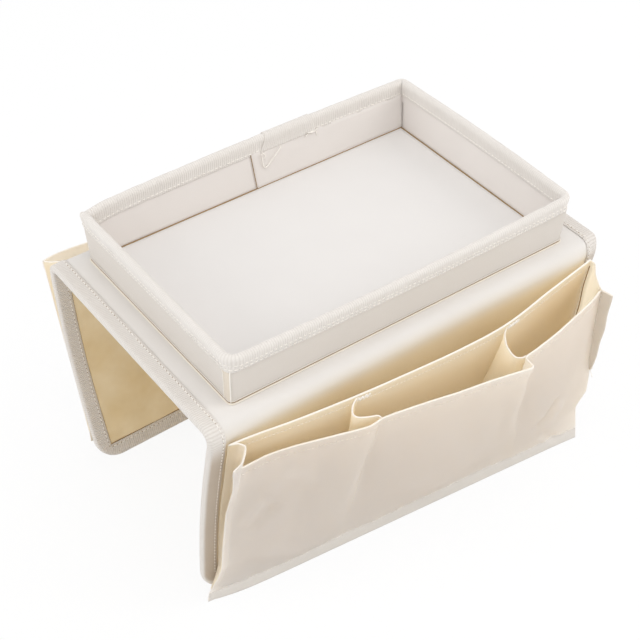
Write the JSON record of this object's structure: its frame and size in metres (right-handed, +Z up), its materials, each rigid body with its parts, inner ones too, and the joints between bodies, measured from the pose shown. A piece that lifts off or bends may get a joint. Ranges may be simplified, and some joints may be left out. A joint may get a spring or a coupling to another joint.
{
  "type": "sofa armrest tray",
  "caption": "Fabric sofa armrest tray: a stiffened open tray sewn on a folding saddle that drapes over the arm, with a slot pocket and a row of bellows pockets on both hanging flaps.",
  "frame": {"origin": "on the floor under the middle of the whole object's bounding box", "axes": "+Z up; +X along the sofa's arm, the longest side; -Y towards the side whose pockets the picture shows"},
  "size_m": [0.346, 0.3214, 0.246],
  "materials": {
    "outer_cloth": "matte warm off-white woven cloth",
    "pocket_cloth": "matte plain cream cloth",
    "lining": "matte tan lining",
    "tape": "ribbed cream binding tape",
    "board": "plain pressed fibre board"
  },
  "bodies": {
    "saddle_top": {"top_outer_cloth": "outer_cloth", "top_board": "board", "top_lining": "lining", "top_tape_left": "tape", "top_tape_right": "tape", "tray_board_far": "board", "tray_board_left": "board", "tray_board_near": "board", "tray_board_right": "board", "tray_wall_outer_cloth": "outer_cloth", "tray_wall_inner_cloth": "outer_cloth", "tray_rim_tape": "tape", "tray_base_piping": "tape", "tray_floor_board": "board", "tray_floor_cloth": "outer_cloth"},
    "near_flap": {"near_flap_outer_cloth": "outer_cloth", "near_flap_board": "board", "near_flap_lining": "lining", "near_flap_tape": "tape", "near_pocket_back": "pocket_cloth", "near_pocket_floor": "pocket_cloth", "near_pocket_hem": "pocket_cloth", "near_gusset_left": "pocket_cloth", "near_gusset_right": "pocket_cloth", "near_divider_left": "pocket_cloth", "near_divider_right": "pocket_cloth"},
    "near_pockets": {"near_pocket_front_left": "pocket_cloth", "near_pocket_front_middle": "pocket_cloth", "near_pocket_front_right": "pocket_cloth"},
    "far_flap": {"far_flap_outer_cloth": "outer_cloth", "far_flap_board": "board", "far_flap_lining": "lining", "far_flap_tape": "tape", "far_pocket_back": "pocket_cloth", "far_pocket_floor": "pocket_cloth", "far_pocket_hem": "pocket_cloth", "far_gusset_left": "pocket_cloth", "far_gusset_right": "pocket_cloth", "far_divider_left": "pocket_cloth", "far_divider_right": "pocket_cloth"},
    "far_pockets": {"far_pocket_front_left": "pocket_cloth", "far_pocket_front_middle": "pocket_cloth", "far_pocket_front_right": "pocket_cloth"}
  },
  "joints": [
    {"name": "near_flap_fold", "type": "hinge", "parent": "saddle_top", "child": "near_flap", "pos_m": [0, -0.11284, 0.193], "axis": [-1, 0, 0], "range_deg": [-70, 92]},
    {"name": "far_flap_fold", "type": "hinge", "parent": "saddle_top", "child": "far_flap", "pos_m": [0, 0.11216, 0.193], "axis": [1, 0, 0], "range_deg": [-18, 92]},
    {"name": "near_pocket_swing", "type": "hinge", "parent": "near_flap", "child": "near_pockets", "pos_m": [0, -0.10102, 0.0114], "axis": [0.9958, -0.0913, 0], "range_deg": [-1.5, 6], "deforming": ["near_gusset_left", "near_gusset_right", "near_divider_left", "near_divider_right"]},
    {"name": "far_pocket_swing", "type": "hinge", "parent": "far_flap", "child": "far_pockets", "pos_m": [0, 0.11291, 0.0114], "axis": [-0.9988, 0.0481, 0], "range_deg": [-1.5, 6], "deforming": ["far_gusset_left", "far_gusset_right", "far_divider_left", "far_divider_right"]}
  ]
}
